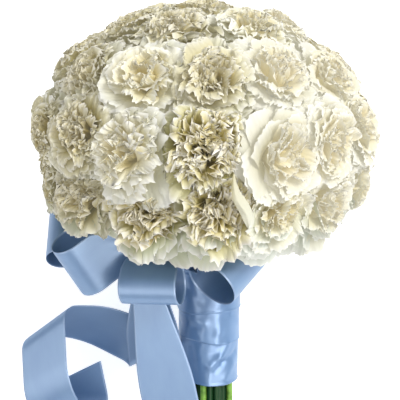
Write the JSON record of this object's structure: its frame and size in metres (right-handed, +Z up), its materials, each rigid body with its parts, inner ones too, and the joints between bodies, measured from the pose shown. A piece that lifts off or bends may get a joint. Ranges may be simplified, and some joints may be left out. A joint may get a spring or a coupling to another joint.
{
  "type": "carnation bouquet",
  "caption": "Hand-tied round bouquet of white carnations, its stems wrapped in blue satin ribbon with a looped bow and two loose ribbon ends, lying on its side.",
  "frame": {"origin": "centre of the bouquet's bounding box, on the surface it lies on", "axes": "+Z up from the surface, +Y along the lying bouquet from the cut stems to the head, +X to the right as the bow is seen from above"},
  "size_m": [0.2884, 0.3659, 0.2569],
  "materials": {
    "petals": "soft matte petals, cream at the heart and white at the edges",
    "stems": "fresh green stems and calyxes, slightly waxy",
    "tape": "matte green crepe tape",
    "satin": "light blue satin, glossy front and duller back"
  },
  "bodies": {
    "root": {"bloom_01": "petals", "bloom_02": "petals", "bloom_03": "petals", "bloom_04": "petals", "bloom_05": "petals", "bloom_06": "petals", "bloom_07": "petals", "bloom_08": "petals", "bloom_09": "petals", "bloom_10": "petals", "bloom_11": "petals", "bloom_12": "petals", "bloom_13": "petals", "bloom_14": "petals", "bloom_15": "petals", "bloom_16": "petals", "bloom_17": "petals", "bloom_18": "petals", "bloom_19": "petals", "bloom_20": "petals", "bloom_21": "petals", "bloom_22": "petals", "bloom_23": "petals", "bloom_24": "petals", "bloom_25": "petals", "bloom_26": "petals", "bloom_27": "petals", "bloom_28": "petals", "bloom_29": "petals", "bloom_30": "petals", "bloom_31": "petals", "bloom_32": "petals", "bloom_33": "petals", "bloom_34": "petals", "bloom_35": "petals", "bloom_36": "petals", "bloom_37": "petals", "bloom_38": "petals", "bloom_39": "petals", "bloom_40": "petals", "bloom_41": "petals", "bloom_42": "petals", "bloom_43": "petals", "bloom_44": "petals", "bloom_45": "petals", "bloom_46": "petals", "bloom_47": "petals", "bloom_48": "petals", "stems": "stems", "binding_tape": "tape", "handle_wrap": "satin", "bow_knot": "satin", "bow_loop_centre": "satin", "bow_loop_left_front": "satin", "bow_loop_left_back": "satin", "bow_loop_right": "satin", "tail_front": "satin", "tail_curl": "satin"}
  },
  "joints": []
}
